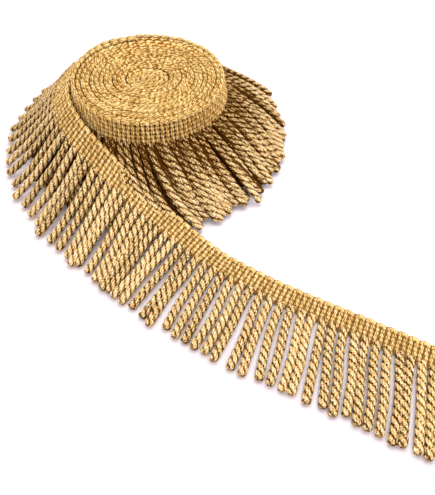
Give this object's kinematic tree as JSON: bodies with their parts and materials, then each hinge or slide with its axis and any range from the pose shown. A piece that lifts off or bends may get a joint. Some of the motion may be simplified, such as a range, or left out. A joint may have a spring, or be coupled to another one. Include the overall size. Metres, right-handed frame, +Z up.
{
  "type": "bullion fringe trim, rolled, with a loose end",
  "caption": "Gold bullion fringe trim: a ribbed knitted heading with twisted cords, wound in a roll that stands on its fringe, with a loose end lying flat.",
  "frame": {"origin": "middle of the outer box, on the table", "axes": "+Z up along the roll's axis, +Y from the loose end towards the roll"},
  "size_m": [0.2524, 0.3102, 0.0479],
  "materials": {
    "heading_yarn": "matt gold knitted yarn",
    "cord_yarn": "gold twisted yarn with a metallic thread"
  },
  "bodies": {
    "root": {"coil_heading": "heading_yarn", "coil_fringe": "cord_yarn", "tail_heading": "heading_yarn", "tail_fringe": "cord_yarn"}
  },
  "joints": []
}
